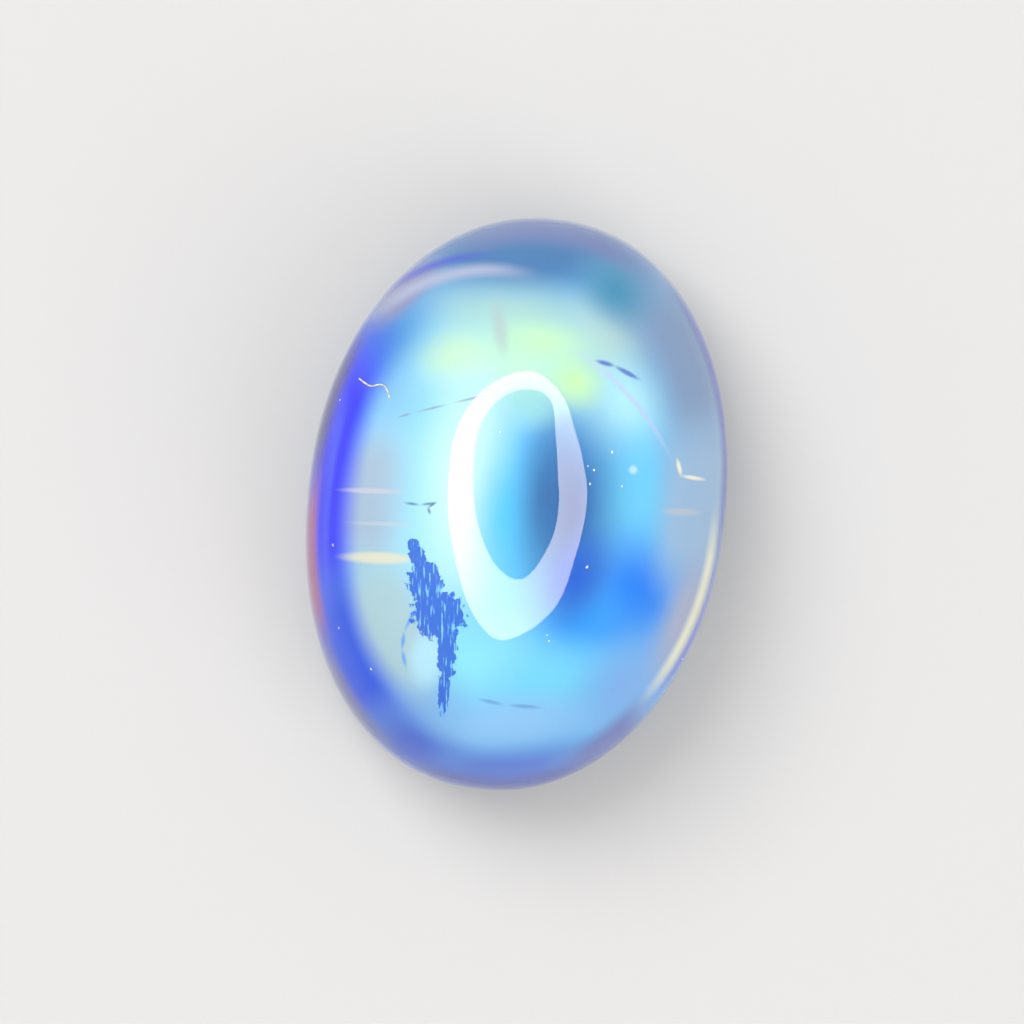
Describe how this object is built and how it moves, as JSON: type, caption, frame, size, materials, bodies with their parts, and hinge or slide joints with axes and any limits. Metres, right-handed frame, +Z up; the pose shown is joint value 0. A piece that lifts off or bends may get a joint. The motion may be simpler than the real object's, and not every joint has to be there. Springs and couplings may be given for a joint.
{
  "type": "rainbow moonstone cabochon",
  "caption": "Polished oval cabochon of rainbow moonstone: a high, translucent, blue-glowing dome on a flat back, for setting in jewellery or for display.",
  "frame": {"origin": "middle of the flat back, which the stone lies on", "axes": "+Z up through the top of the dome, +Y along the oval's long axis, +X along its short axis"},
  "size_m": [0.0058, 0.008, 0.004],
  "materials": {
    "moonstone": "polished translucent feldspar with a blue sheen, over a finely ground back"
  },
  "bodies": {
    "root": {"moonstone": "moonstone"}
  },
  "joints": []
}
